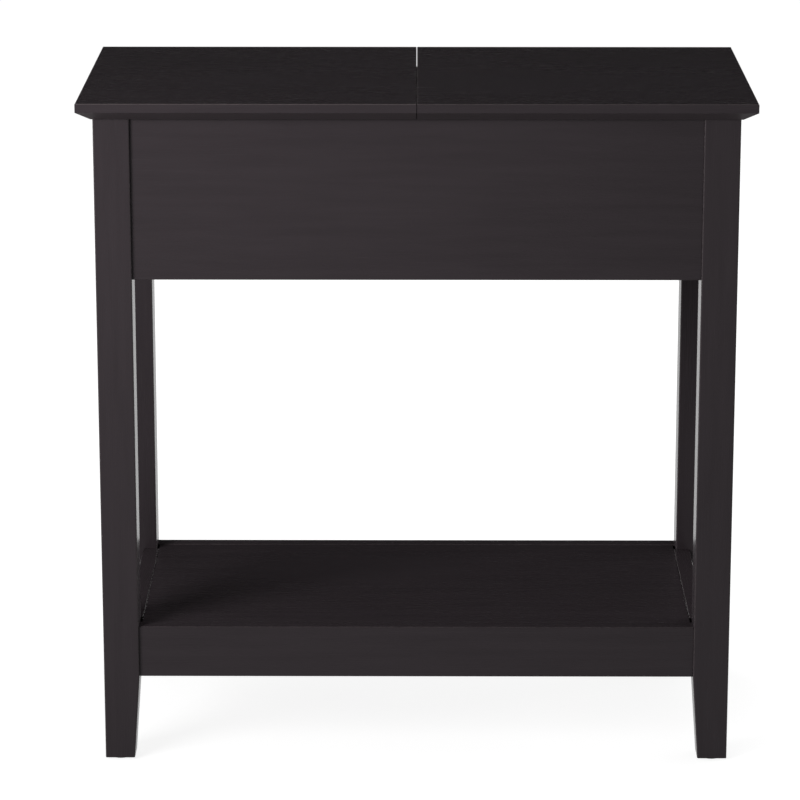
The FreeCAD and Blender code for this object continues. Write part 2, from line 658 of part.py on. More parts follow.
for side, centre in (("left", "layout.hinge_left_x"), ("right", "layout.hinge_right_x")):
    hinge_leaf(f"hinge_{side}_frame_leaf", "hinge_frame_screws", FRAME_KNUCKLES, Rotation(), centre)
    hinge_leaf(f"hinge_{side}_lid_leaf", "hinge_lid_screws", LID_KNUCKLES, ALONG["+y"], centre)

    pin = new_body(f"hinge_{side}_pin")
    pin.Placement.Rotation = ALONG["+x"]
    locate(
        pin, f"{centre} - sizes.hinge_length / 2", "layout.hinge_axis_y", "layout.hinge_axis_z"
    )
    radius = "sizes.pin_diameter / 2"
    head = "sizes.pin_head_diameter / 2"
    low = "-sizes.pin_head_height"
    high = "sizes.hinge_length + sizes.pin_head_height"
    revolve(pin, (
        ("0", low), (head, low), (head, "0"), (radius, "0"),
        (radius, "sizes.hinge_length"), (head, "sizes.hinge_length"), (head, high), ("0", high),
    ))

    # The lid's leaf lies in a shallow gain across the back apron's top edge.
    gain_side = "(sizes.hinge_length / 2 + sizes.knuckle_clearance)"
    gain_depth = "(sizes.hinge_plate + sizes.knuckle_clearance)"
    cut_box(
        aprons["back"], f"Gain_{side}",
        (
            f"{along_board('back', centre)} - {gain_side}",
            f"-{CUT_MARGIN}",
            f"sizes.apron_height - {gain_depth}",
        ),
        (
            f"2 * {gain_side}",
            f"sizes.apron_thickness + {2 * CUT_MARGIN}",
            f"{gain_depth} + {CUT_MARGIN}",
        ),
    )
    for number, step in enumerate((-0.5, 0.5), 1):
        x = f"({centre} + {step} * sizes.hinge_screw_spacing)"
        up = "layout.hinge_axis_z - sizes.hinge_screw_drop - layout.apron_bottom"
        mouth = (along_board("back", x), "0", up)
        diameter = "sizes.screw_diameter"
        bore(aprons["back"], f"Hinge_{side}{number}", diameter, HINGE_SCREW_BORE, mouth, "+y")
        back_y = "layout.hinge_axis_y - sizes.hinge_screw_drop + sizes.top_depth / 2"
        mouth = (f"{x} + sizes.top_width / 2", back_y, "0")
        bore(lid, f"Hinge_{side}{number}", diameter, HINGE_SCREW_BORE, mouth, "+z")


# ---------------------------------------------------------------- bores for brackets and bumpers

BRACKET_SCREW_BORE = "sizes.short_screw_length - sizes.bracket_plate + sizes.bore_end"
BRACKETS = (("left", "layout.bracket_left_x"), ("right", "layout.bracket_right_x"))
BUMPERS = (("left", "layout.bumper_left_x"), ("right", "layout.bumper_right_x"))

for name, sign in (("front", "-"), ("back", "")):
    for side, x in BRACKETS:
        mouth = (along_board(name, x), "sizes.apron_thickness", "sizes.apron_height - sizes.bracket_hole")
        diameter = "sizes.screw_diameter"
        bore(aprons[name], f"Bracket_{side}", diameter, BRACKET_SCREW_BORE, mouth, "-y")
        y = f"{sign}(layout.apron_inner_y - sizes.bracket_hole) + sizes.top_depth / 2"
        mouth = (f"{x} - sizes.split_gap / 2", y, "0")
        bore(fixed_top, f"Bracket_{name}_{side}", diameter, BRACKET_SCREW_BORE, mouth, "+z")

for side, x in BUMPERS:
    mouth = (along_board("front", x), "sizes.apron_thickness / 2", "sizes.apron_height")
    diameter = "sizes.bumper_diameter"
    bore(aprons["front"], f"Bumper_{side}", diameter, "sizes.bumper_depth", mouth, "-z", "lid_bumpers")

document.recompute()


# ---------------------------------------------------------------- fasteners and fittings

def dowel(label, diameter, length):
    """A wooden dowel, half of it on each side of its seat."""
    body = new_body(label, keep=False)
    peg = body.newObject("PartDesign::AdditiveCylinder", "Peg")
    bind(peg, Radius=f"{diameter} / 2", Height=length)
    locate(peg, z=f"-{length} / 2")
    document.recompute()
    rims = [f"Edge{number}" for number, edge in enumerate(peg.Shape.Edges, 1) if edge.Closed]
    chamfer = body.newObject("PartDesign::Chamfer", "Chamfer")
    chamfer.Base = (peg, rims)
    chamfer.setExpression("Size", "sizes.dowel_chamfer")
    return body


def cam_bolt():
    """A cam bolt.  Its thread is in the leg, and its head reaches into the cam disc."""
    body = new_body("cam_bolt", keep=False)
    radius = "sizes.cam_bolt_diameter / 2"
    neck = "sizes.cam_bolt_neck / 2"
    tip = "sizes.cam_reach + sizes.cam_bolt_head / 2"
    revolve(body, (
        ("0", "-sizes.cam_bolt_thread"), (radius, "-sizes.cam_bolt_thread"), (radius, "0"),
        (neck, "0"), (neck, f"{tip} - sizes.cam_bolt_head"), (radius, f"{tip} - sizes.cam_bolt_head"),
        (radius, tip), ("0", tip),
    ))
    return body


def cam_disc(label, board_thickness):
    """A cam disc, bored across for the bolt's head, with a crossed slot in its face."""
    body = new_body(label, keep=False)
    disc = body.newObject("PartDesign::AdditiveCylinder", "Disc")
    bind(disc, Radius="sizes.cam_diameter / 2", Height="sizes.cam_depth - sizes.bore_clearance")
    mouth = ("-sizes.cam_diameter", "0", f"{board_thickness} / 2")
    bore(body, "Across", "sizes.cam_bolt_diameter", "2 * sizes.cam_diameter", mouth, "+x")
    length = "sizes.cam_slot_length"
    width = "sizes.cam_slot_width"
    for name, across, along in (("SlotX", length, width), ("SlotY", width, length)):
        cut_box(
            body, name,
            (f"-{across} / 2", f"-{along} / 2", f"-{CUT_MARGIN}"),
            (across, along, f"sizes.cam_slot_depth + {CUT_MARGIN}"),
        )
    return body


def pan_screw(label, length):
    """A screw with a flat head that stands on the face it holds."""
    body = new_body(label, keep=False)
    head = "sizes.screw_head_diameter / 2"
    radius = "sizes.screw_diameter / 2"
    low = "-sizes.screw_head_height"
    revolve(body, (
        ("0", low), (head, low), (head, "0"), (radius, "0"),
        (radius, f"{length} - sizes.screw_point"), ("0", length),
    ))
    return body


def countersunk_screw():
    body = new_body("countersunk_screw", keep=False)
    radius = "sizes.screw_diameter / 2"
    revolve(body, (
        ("0", "0"), ("sizes.screw_head_diameter / 2", "0"), (radius, "sizes.screw_head_height"),
        (radius, "sizes.short_screw_length - sizes.screw_point"), ("0", "sizes.short_screw_length"),
    ))
    return body


def angle_bracket():
    """An angle bracket.  Its corner is at the origin, one leg lies along +Y and one hangs down."""
    body = new_body("angle_bracket", keep=False)
    leg_length = "sizes.bracket_leg"
    plate = "sizes.bracket_plate"
    section = outline(body, "Section", "YZ_Plane", (
        ("0", "0"), (leg_length, "0"), (leg_length, f"-{plate}"),
        (plate, f"-{plate}"), (plate, f"-{leg_length}"), ("0", f"-{leg_length}"),
    ))
    pad(body, section, "sizes.bracket_width", middle=True)
    for name, mouth, direction in (
        ("Up", ("0", "sizes.bracket_hole", f"-{plate}"), "+z"),
        ("Back", ("0", plate, "-sizes.bracket_hole"), "-y"),
    ):
        bore(body, name, "sizes.screw_diameter", plate, mouth, direction, "bracket_holes")
    return body


def bumper():
    """A rubber plug, flush with the edge that it is set in."""
    body = new_body("bumper", keep=False)
    plug = body.newObject("PartDesign::AdditiveCylinder", "Plug")
    bind(plug, Radius="sizes.bumper_diameter / 2", Height="sizes.bumper_depth")
    return body


def glide():
    """A nailed glide.  The nail goes up into the foot from the glide's upper face."""
    body = new_body("glide", keep=False)
    nail = "sizes.nail_diameter / 2"
    rim = "sizes.glide_diameter / 2"
    under = "-sizes.glide_thickness"
    revolve(body, (
        ("0", under), (f"{rim} - sizes.glide_chamfer", under), (rim, f"{under} + sizes.glide_chamfer"),
        (rim, "0"), (nail, "0"), (nail, "sizes.nail_length"), ("0", "sizes.nail_length"),
    ))
    return body


apron_dowel = dowel("apron_dowel", "sizes.dowel_diameter", "sizes.dowel_length")
rail_dowel = dowel("rail_dowel", "sizes.rail_dowel_diameter", "sizes.rail_dowel_length")
cross_dowel = dowel("cross_dowel", "sizes.rail_dowel_diameter", "sizes.cross_dowel_length")
bolt = cam_bolt()
apron_disc = cam_disc("apron_disc", "sizes.apron_thickness")
rail_disc = cam_disc("rail_disc", "sizes.rail_thickness")
cleat_screw = pan_screw("cleat_screw", "sizes.long_screw_length")
bracket_screw = pan_screw("bracket_screw", "sizes.short_screw_length")
hinge_screw = countersunk_screw()
bracket = angle_bracket()
lid_bumper = bumper()
foot_glide = glide()
document.recompute()

for label, master, seat in (
    ("apron_dowels", apron_dowel, "apron_dowels"),
    ("rail_dowels", rail_dowel, "rail_dowels"),
    ("cross_rail_dowels", cross_dowel, "cross_dowels"),
    ("apron_cam_bolts", bolt, "apron_cam_bolts"),
    ("rail_cam_bolts", bolt, "rail_cam_bolts"),
    ("apron_cam_discs", apron_disc, "apron_cam_discs"),
    ("rail_cam_discs", rail_disc, "rail_cam_discs"),
    ("floor_cleat_screws", cleat_screw, "floor_cleat_screws"),
    ("shelf_cleat_screws", cleat_screw, "shelf_cleat_screws"),
    ("shelf_panel_screws", cleat_screw, "shelf_screws"),
    ("hinge_frame_screws", hinge_screw, "hinge_frame_screws"),
    ("hinge_lid_screws", hinge_screw, "hinge_lid_screws"),
    ("lid_bumpers", lid_bumper, "lid_bumpers"),
    ("foot_glides", foot_glide, "foot_glides"),
):
    group(label, master, seats_of(seat))

bracket_spots = []
for turn, y in ((0, -layout.apron_inner_y), (180, layout.apron_inner_y)):
    for x in (layout.bracket_left_x, layout.bracket_right_x):
        spot = Vector(x, y, layout.frame_top)
        bracket_spots.append(FreeCAD.Placement(spot, Rotation(Vector(0, 0, 1), turn)))
group("top_brackets", bracket, bracket_spots)
group("top_bracket_screws", bracket_screw, [
    spot.multiply(hole) for spot in bracket_spots for hole in seats_of("bracket_holes")
])


# ---------------------------------------------------------------- checks and files

document.recompute()
for thing in document.Objects:
    if "Invalid" in thing.State or "Error" in thing.State:
        raise RuntimeError(f"{thing.Label} failed: {thing.State}")
for subpart in subparts:
    if subpart.Shape.isNull() or not subpart.Shape.isValid() or not subpart.Shape.Solids:
        raise RuntimeError(f"{subpart.Label} has no valid solid")

os.makedirs("parts", exist_ok=True)
for subpart in subparts:
    subpart.Shape.exportStep(f"parts/{subpart.Label}.step")
print(len(subparts), "sub-parts written")
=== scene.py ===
import math

import bmesh
import bpy
from mathutils import Matrix, Vector


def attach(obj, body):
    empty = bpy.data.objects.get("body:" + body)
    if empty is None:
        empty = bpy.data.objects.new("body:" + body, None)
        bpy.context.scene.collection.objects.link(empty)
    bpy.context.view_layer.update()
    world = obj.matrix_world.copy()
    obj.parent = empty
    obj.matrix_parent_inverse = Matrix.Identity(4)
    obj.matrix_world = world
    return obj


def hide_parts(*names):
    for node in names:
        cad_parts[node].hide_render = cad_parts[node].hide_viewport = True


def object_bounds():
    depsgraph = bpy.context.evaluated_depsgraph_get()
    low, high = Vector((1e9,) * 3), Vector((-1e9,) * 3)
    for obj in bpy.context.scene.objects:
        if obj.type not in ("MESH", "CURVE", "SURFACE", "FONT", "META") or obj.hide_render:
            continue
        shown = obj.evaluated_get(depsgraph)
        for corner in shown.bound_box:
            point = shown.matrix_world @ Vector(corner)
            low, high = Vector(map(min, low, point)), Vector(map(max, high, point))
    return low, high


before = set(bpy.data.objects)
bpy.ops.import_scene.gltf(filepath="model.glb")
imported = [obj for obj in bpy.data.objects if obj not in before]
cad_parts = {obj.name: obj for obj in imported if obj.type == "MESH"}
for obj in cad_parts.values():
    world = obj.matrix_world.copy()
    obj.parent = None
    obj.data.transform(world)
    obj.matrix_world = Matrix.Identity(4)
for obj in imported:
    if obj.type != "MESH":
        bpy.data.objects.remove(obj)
cad_low, cad_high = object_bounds()

# Looks for a lift top end table in satin espresso paint.  Metres, +Z up, front towards -Y.

IMAGE = 800
SENSOR = 36.0


# ---------------------------------------------------------------- camera

FOCAL_PIXELS = 3706
CAMERA_BACK = 3.202  # from the top's front edge
CAMERA_HEIGHT = 1.199
CAMERA_TILT = 14.90  # degrees below the horizon
CAMERA_ASIDE = 17.0  # pixels that the table stands right of the middle
CLIP_END = 60

camera_data = bpy.data.cameras.new("camera")
camera_data.sensor_width = SENSOR
camera_data.lens = FOCAL_PIXELS * SENSOR / IMAGE
camera_data.clip_end = CLIP_END
camera = bpy.data.objects.new("camera", camera_data)
camera.location = (0, cad_low.y - CAMERA_BACK, CAMERA_HEIGHT)
turn = math.atan(CAMERA_ASIDE / FOCAL_PIXELS)
camera.rotation_euler = (math.radians(90 - CAMERA_TILT), 0, turn)
bpy.context.scene.collection.objects.link(camera)
bpy.context.scene.camera = camera
bpy.context.scene.view_settings.view_transform = "Standard"


# ---------------------------------------------------------------- node helpers

BEVEL_SAMPLES = 6
EDGE_SPAN = (0.99, 0.88)  # the largest part of a normal, on a flat face and on a rounded edge
DOWN_SPAN = (-0.1, -0.3)  # the height of a normal, all but level and facing down


class Shade:
    """A material, or the world, and short ways to add and join its nodes."""

    def __init__(self, owner):
        owner.use_nodes = True
        self.tree = owner.node_tree
        self.tree.nodes.clear()

    def add(self, kind, **settings):
        node = self.tree.nodes.new(kind)
        for name, setting in settings.items():
            setattr(node, name, setting)
        return node

    def feed(self, node, **inputs):
        """Sets or links inputs.  An underscore in a name stands for a space."""
        for name, given in inputs.items():
            socket = node.inputs[name.replace("_", " ")]
            self.put(socket, given)
        return node

    def put(self, socket, given):
        """Links a socket to an output, or sets its value."""
        if isinstance(given, bpy.types.NodeSocket):
            self.tree.links.new(given, socket)
        else:
            socket.default_value = given

    def noise(self, vector, scale, detail, roughness):
        node = self.add("ShaderNodeTexNoise")
        self.feed(node, Vector=vector, Scale=scale, Detail=detail, Roughness=roughness)
        return node.outputs["Fac"]

    def stretch(self, vector, offset, scale):
        node = self.add("ShaderNodeMapping")
        self.feed(node, Vector=vector, Location=offset, Scale=scale)
        return node.outputs["Vector"]

    def span(self, value, low, high, to_low=0.0, to_high=1.0):
        """Moves a value from one span to another, and keeps it inside."""
        node = self.add("ShaderNodeMapRange")
        self.feed(node, Value=value, From_Min=low, From_Max=high, To_Min=to_low, To_Max=to_high)
        return node.outputs["Result"]

    def math(self, operation, first, second=0.0, clamp=False):
        node = self.add("ShaderNodeMath", operation=operation, use_clamp=clamp)
        self.put(node.inputs[0], first)
        self.put(node.inputs[1], second)
        return node.outputs[0]

    def plus(self, base, value, share, clamp=False):
        """A value with a share of another on top."""
        return self.math("ADD", base, self.math("MULTIPLY", value, share), clamp)

    def mix(self, factor, first, second):
        """A colour between two colours."""
        node = self.add("ShaderNodeMix", data_type="RGBA")
        self.put(node.inputs["Factor"], factor)
        colours = [socket for socket in node.inputs if socket.type == "RGBA"]
        self.put(colours[0], first)
        self.put(colours[1], second)
        return [socket for socket in node.outputs if socket.type == "RGBA"][0]

    def bump(self, height, distance, normal=None):
        node = self.add("ShaderNodeBump")
        self.feed(node, Height=height, Distance=distance, Strength=1.0)
        if normal:
            self.feed(node, Normal=normal)
        return node.outputs["Normal"]

    def soft_edges(self, radius):
        """A normal that rounds every sharp edge."""
        node = self.add("ShaderNodeBevel", samples=BEVEL_SAMPLES)
        self.feed(node, Radius=radius)
        return node.outputs["Normal"]

    def arris(self):
        """Two masks: the rounded edges of a board that don't face down, and all that faces down."""
        split = self.add("ShaderNodeSeparateXYZ")
        self.feed(split, Vector=self.add("ShaderNodeTexCoord").outputs["Normal"])
        sides = [self.math("ABSOLUTE", split.outputs[axis]) for axis in "XYZ"]
        flat = self.math("MAXIMUM", self.math("MAXIMUM", sides[0], sides[1]), sides[2])
        rounded = self.span(flat, *EDGE_SPAN)
        downward = self.span(split.outputs["Z"], *DOWN_SPAN)
        upward = self.math("SUBTRACT", 1.0, downward)
        return self.math("MULTIPLY", rounded, upward), downward

    def seen(self):
        """1 for what is seen straight, in a gloss or through glass, and 0 for what only lights."""
        path = self.add("ShaderNodeLightPath").outputs
        found = self.math("MAXIMUM", path["Is Camera Ray"], path["Is Glossy Ray"])
        return self.math("MAXIMUM", found, path["Is Transmission Ray"])


def material(name, base, roughness, metallic=0.0, specular=0.5):
    """A principled material.  Constants are set on the shader's own sockets."""
    made = bpy.data.materials.new(name)
    shade = Shade(made)
    shader = shade.add("ShaderNodeBsdfPrincipled")
    output = shade.add("ShaderNodeOutputMaterial")
    shade.feed(output, Surface=shader.outputs[0])
    shader.inputs["Base Color"].default_value = (*base, 1)
    shader.inputs["Roughness"].default_value = roughness
    shader.inputs["Metallic"].default_value = metallic
    shader.inputs["Specular IOR Level"].default_value = specular
    return made, shade, shader


def place_on(shade):
    """Where a point is in its object's own space."""
    return shade.add("ShaderNodeTexCoord").outputs["Object"]


def drawn_out(axis, stretch):
    """A scale that draws a texture out along one axis when it is below 1."""
    scale = [1.0, 1.0, 1.0]
    scale["xyz".index(axis)] = stretch
    return scale


# ---------------------------------------------------------------- espresso paint

ESPRESSO = (0.0430, 0.0345, 0.0390)
ESPRESSO_DEEP = (0.0300, 0.0238, 0.0270)
# The pale colour of rubbed edges. It is also laid on upward edges as a painted highlight and on
# undersides as painted light.
ESPRESSO_WEAR_AND_PAINTED_LIGHT = (0.1200, 0.1020, 0.1030)
PAINT_ROUGHNESS = 0.3
PAINT_SPECULAR = 0.12
PAINT_EDGE = 0.0005
PAINT_RELIEF = 0.00002
GRAIN_STEP = (0.731, 1.377, 0.519)  # moves the grain on from board to board

# Each texture's stretch along the grain, scale, detail and roughness.
FIBRE = (0.03, 1100, 3, 0.6)
STREAK = (0.07, 130, 3, 0.55)
CLOUD = (0.5, 7, 2, 0.5)
PORE = (0.025, 1900, 1, 0.4)
PEEL = (1.0, 520, 1, 0.4)

# The part of a texture that counts.
MIDDLE_SPAN = (0.3, 0.7)
CLOUD_SPAN = (0.25, 0.75)
PORE_SPAN = (0.66, 0.74)
PEEL_SPAN = (0.35, 0.62)

# How far each texture deepens the colour, roughens the gloss and raises the surface.
STREAK_TONE = 0.42
CLOUD_TONE = 0.30
FIBRE_TONE = 0.12
PORE_TONE = 0.15
CLOUD_ROUGHNESS = (0.235, 0.255)
FIBRE_ROUGHNESS = 0.05
FIBRE_HEIGHT = 0.22
PEEL_HEIGHT = 0.15
STREAK_HEIGHT = 0.12
PORE_DEPTH = 0.5

# Undersides are duller, and their colour is paled a little towards the edge colour: a painted light
# on faces that look down.
UNDERSIDE_PAINTED_LIGHT = 0.10
UNDERSIDE_ROUGHNESS = 0.3


def paint(name, grain, seed, tone, rub_and_highlight):
    """Satin espresso paint on wood.  The grain runs along one axis and just shows through.

    The last argument is how far the upward edges are paled, from the least to the most: partly
    paint rubbed thin, partly a painted highlight.
    """
    made, shade, shader = material(name, ESPRESSO, PAINT_ROUGHNESS, specular=PAINT_SPECULAR)
    place = place_on(shade)
    offset = [seed * step for step in GRAIN_STEP]

    def texture(stretch, scale, detail, roughness):
        drawn = shade.stretch(place, offset, drawn_out(grain, stretch))
        return shade.noise(drawn, scale, detail, roughness)

    fibre = texture(*FIBRE)
    streak = texture(*STREAK)
    cloud = texture(*CLOUD)
    pores = shade.span(texture(*PORE), *PORE_SPAN)
    peel = texture(*PEEL)

    depth = shade.math("MULTIPLY", shade.span(streak, *MIDDLE_SPAN), STREAK_TONE)
    depth = shade.plus(depth, shade.span(cloud, *MIDDLE_SPAN), CLOUD_TONE)
    depth = shade.plus(depth, shade.span(fibre, *MIDDLE_SPAN), FIBRE_TONE)
    depth = shade.plus(depth, pores, PORE_TONE, clamp=True)
    light = tuple(tone * part for part in ESPRESSO)
    dark = tuple(tone * part for part in ESPRESSO_DEEP)
    colour = shade.mix(depth, (*light, 1), (*dark, 1))
    rounded, downward = shade.arris()
    # Rounded edges that don't face down are paled: partly paint rubbed thin, partly a painted
    # highlight.
    rubbed_and_highlit = shade.math("MULTIPLY", rounded, shade.span(peel, *PEEL_SPAN, *rub_and_highlight))
    # Faces that look down are paled: painted light.
    painted_underside_light = shade.math("MULTIPLY", downward, UNDERSIDE_PAINTED_LIGHT)
    colour = shade.mix(shade.math("MAXIMUM", rubbed_and_highlit, painted_underside_light), colour, (*ESPRESSO_WEAR_AND_PAINTED_LIGHT, 1))
    shade.feed(shader, Base_Color=colour)

    rough = shade.span(cloud, *CLOUD_SPAN, *CLOUD_ROUGHNESS)
    rough = shade.plus(rough, fibre, FIBRE_ROUGHNESS)
    rough = shade.plus(rough, downward, UNDERSIDE_ROUGHNESS)
    shade.feed(shader, Roughness=rough)

    relief = shade.math("MULTIPLY", fibre, FIBRE_HEIGHT)
    relief = shade.plus(relief, peel, PEEL_HEIGHT)
    relief = shade.plus(relief, streak, STREAK_HEIGHT)
    relief = shade.math("SUBTRACT", relief, shade.math("MULTIPLY", pores, PORE_DEPTH))
    shade.feed(shader, Normal=shade.bump(relief, PAINT_RELIEF, shade.soft_edges(PAINT_EDGE)))
    return made


GRAIN = {
    "x": (
        "front_apron", "back_apron", "fixed_top", "lid_panel", "storage_floor",
        "floor_cleat_front", "floor_cleat_back", "shelf_front_rail", "shelf_back_rail",
        "shelf_panel", "shelf_cleat_front", "shelf_cleat_back",
    ),
    "y": ("left_apron", "right_apron", "top_cross_rail", "shelf_left_rail", "shelf_right_rail"),
    "z": ("leg_front_left", "leg_front_right", "leg_back_left", "leg_back_right"),
}
TONES = (1.0, 0.97, 1.03, 0.99, 1.02)
# How far the upward edges are paled, from the least to the most: partly rubbed paint, partly a
# painted highlight. It is strongest on the lid and the fixed top, and almost nothing on the shelf's
# panel and left rail.
EDGE_RUB_AND_HIGHLIGHT = (0.06, 0.33)
OWN_RUB_AND_HIGHLIGHT = {
    "lid_panel": (0.5, 0.9),
    "fixed_top": (0.3, 0.6),
    "shelf_panel": (0.0, 0.1),
    "shelf_left_rail": (0.0, 0.1),
}


def dress(node, look):
    """Gives a CAD node its material."""
    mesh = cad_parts[node].data
    if not mesh.materials:
        mesh.materials.append(look)
    for number in range(len(mesh.materials)):
        mesh.materials[number] = look


seed = 0
for axis, boards in GRAIN.items():
    for board in boards:
        seed += 1
        rub_and_highlight = OWN_RUB_AND_HIGHLIGHT.get(board, EDGE_RUB_AND_HIGHLIGHT)
        dress(board, paint(f"espresso_{board}", axis, seed, TONES[seed % len(TONES)], rub_and_highlight))


# ---------------------------------------------------------------- metal, beech, rubber and plastic

SCRATCH = (3500, 2, 0.6)  # scale, detail and roughness
SCRATCH_STRETCH = 0.04
SCRATCH_OFFSET = (0.3, 0.9, 0.1)
SCRATCH_ROUGHNESS = 0.16
PATCH_DETAIL = (3, 0.6)  # detail and roughness
PATCH_SPAN = (0.35, 0.65)
PATCH_HEIGHT = 0.5
METAL_EDGE = 0.0002

BEECH_LIGHT = (0.55, 0.36, 0.20)
BEECH_DARK = (0.40, 0.24, 0.13)
BEECH_ROUGHNESS = 0.6
BEECH_RELIEF = 0.00005
FLECK = (900, 3, 0.6)
FLECK_STRETCH = 0.2

MOULD_DETAIL = (2, 0.5)
MOULD_ROUGHNESS = 0.07
MOULD_RELIEF = 0.00004
MOULD_EDGE = 0.0003
DUST_SIZE = 12  # how much coarser the dust is than the moulded grain
DUST_SPAN = (0.45, 0.75)
DUST_GAIN = 1.6
DUST_LIFT = 0.01


def metal(name, base, roughness, grain, bright=1.15, mottle=60, relief=0.000004):
    """Plated or cast metal, with a mottle in its tone and fine scratches along one axis."""
    made, shade, shader = material(name, base, roughness, metallic=1.0)
    place = place_on(shade)
    drawn = shade.stretch(place, SCRATCH_OFFSET, drawn_out(grain, SCRATCH_STRETCH))
    scratch = shade.noise(drawn, *SCRATCH)
    patch = shade.noise(place, mottle, *PATCH_DETAIL)
    pale = tuple(min(1.0, bright * part) for part in base)
    colour = shade.mix(shade.span(patch, *PATCH_SPAN), (*base, 1), (*pale, 1))
    shade.feed(shader, Base_Color=colour)
    rough = shade.plus(roughness - SCRATCH_ROUGHNESS / 2, scratch, SCRATCH_ROUGHNESS)
    shade.feed(shader, Roughness=rough)
    height = shade.plus(scratch, patch, PATCH_HEIGHT)
    shade.feed(shader, Normal=shade.bump(height, relief, shade.soft_edges(METAL_EDGE)))
    return made


def beech():
    """Bare beech with fine flecks drawn out along X."""
    made, shade, shader = material("dowel_beech", BEECH_LIGHT, BEECH_ROUGHNESS)
    drawn = shade.stretch(place_on(shade), (0, 0, 0), drawn_out("x", FLECK_STRETCH))
    fleck = shade.noise(drawn, *FLECK)
    colour = shade.mix(shade.span(fleck, *PATCH_SPAN), (*BEECH_LIGHT, 1), (*BEECH_DARK, 1))
    shade.feed(shader, Base_Color=colour, Normal=shade.bump(fleck, BEECH_RELIEF))
    return made


def moulded(name, base, roughness, grain_size):
    """Rubber or plastic with a fine moulded texture and a little dust."""
    made, shade, shader = material(name, base, roughness)
    place = place_on(shade)
    grain = shade.noise(place, grain_size, *MOULD_DETAIL)
    dust = shade.noise(place, grain_size / DUST_SIZE, *PATCH_DETAIL)
    pale = tuple(DUST_GAIN * part + DUST_LIFT for part in base)
    shade.feed(shader, Base_Color=shade.mix(shade.span(dust, *DUST_SPAN), (*base, 1), (*pale, 1)))
    smooth, coarse = roughness - MOULD_ROUGHNESS, roughness + MOULD_ROUGHNESS
    shade.feed(shader, Roughness=shade.span(grain, *MIDDLE_SPAN, smooth, coarse))
    shade.feed(shader, Normal=shade.bump(grain, MOULD_RELIEF, shade.soft_edges(MOULD_EDGE)))
    return made


zinc = metal("zinc_plate", (0.62, 0.63, 0.65), 0.32, "x")
cast = metal("cast_zinc", (0.46, 0.47, 0.48), 0.5, "z", bright=1.25, mottle=900, relief=0.00003)
nickel = metal("satin_nickel", (0.47, 0.45, 0.42), 0.42, "x")
beech_look = beech()
rubber = moulded("bumper_rubber", (0.03, 0.03, 0.032), 0.75, 2500)
plastic = moulded("glide_plastic", (0.05, 0.046, 0.042), 0.45, 1800)
for look, nodes in (
    (beech_look, ("apron_dowels", "rail_dowels", "cross_rail_dowels")),
    (zinc, ("apron_cam_bolts", "rail_cam_bolts", "top_brackets")),
    (cast, ("apron_cam_discs", "rail_cam_discs")),
    (nickel, ("hinge_left_frame_leaf", "hinge_left_lid_leaf", "hinge_left_pin")),
    (nickel, ("hinge_right_frame_leaf", "hinge_right_lid_leaf", "hinge_right_pin")),
    (rubber, ("lid_bumpers",)),
    (plastic, ("foot_glides",)),
):
    for node in nodes:
        dress(node, look)


# ---------------------------------------------------------------- screws with cross recesses

ROUND_STEPS = 24
ON_AXIS = 1e-7
SAME_POINT = 1e-6
SHANK_RADIUS = 0.0015
THREAD_PITCH = 0.0012
THREAD_ROOT = 0.78  # of the shank's radius
POINT_LENGTH = 0.002
RECESS_WIDTH = 0.0009
RECESS_REACH = 0.0018
RECESS_DEPTH = 0.0012
RECESS_TAPER = 0.45  # the size of the recess's floor against its mouth
CUTTER_TOP = 0.0005
FIRST_TURN = 11  # degrees
NEXT_TURN = 37  # degrees from one screw to the next

# Radius and height pairs from the top of the head, and the height where the shank starts.
PAN_HEAD = [
    (0.0022, 0.0),
    (0.0027, -0.0002),
    (0.003, -0.0006),
    (0.003, -0.0015),
    (0.0015, -0.0015),
]
FLAT_HEAD = [(0.0029, 0.0), (0.003, -0.0001), (0.0016, -0.0015)]
PAN_SHANK = -0.003
FLAT_SHANK = -0.002


def revolved(profile):
    """A closed mesh turned round Z from radius and height pairs that start and end on the axis."""
    mesh = bmesh.new()
    turns = [2 * math.pi * step / ROUND_STEPS for step in range(ROUND_STEPS)]
    rings = []
    for radius, height in profile:
        if radius < ON_AXIS:
            rings.append([mesh.verts.new((0, 0, height))])
            continue
        rings.append([
            mesh.verts.new((radius * math.cos(turn), radius * math.sin(turn), height))
            for turn in turns
        ])
    for lower, upper in zip(rings, rings[1:]):
        for step in range(ROUND_STEPS):
            after = (step + 1) % ROUND_STEPS
            corners = [lower[step % len(lower)], lower[after % len(lower)]]
            corners += [upper[after % len(upper)], upper[step % len(upper)]]
            mesh.faces.new(list(dict.fromkeys(corners)))
    bmesh.ops.recalc_face_normals(mesh, faces=mesh.faces)
    return mesh


def cross_cutter():
    """A tapered cross that cuts the recess of a screw's head."""
    mesh = bmesh.new()
    half = RECESS_WIDTH / 2
    tips = []
    for quarter in range(4):
        turn = Matrix.Rotation(quarter * math.pi / 2, 3, "Z")
        tips += [turn @ Vector((RECESS_REACH, -half, 0)), turn @ Vector((RECESS_REACH, half, 0))]
        tips.append(turn @ Vector((half, half, 0)))
    taper = RECESS_TAPER
    rim = [mesh.verts.new((tip.x, tip.y, CUTTER_TOP)) for tip in tips]
    floor = [mesh.verts.new((tip.x * taper, tip.y * taper, -RECESS_DEPTH)) for tip in tips]
    mesh.faces.new(rim)
    mesh.faces.new(floor[::-1])
    for number in range(len(tips)):
        after = (number + 1) % len(tips)
        mesh.faces.new((rim[number], rim[after], floor[after], floor[number]))
    bmesh.ops.recalc_face_normals(mesh, faces=mesh.faces)
    return mesh


def to_object(name, mesh):
    """Puts a bmesh into the scene as an object, and frees it."""
    data = bpy.data.meshes.new(name)
    mesh.to_mesh(data)
    mesh.free()
    made = bpy.data.objects.new(name, data)
    bpy.context.scene.collection.objects.link(made)
    return made


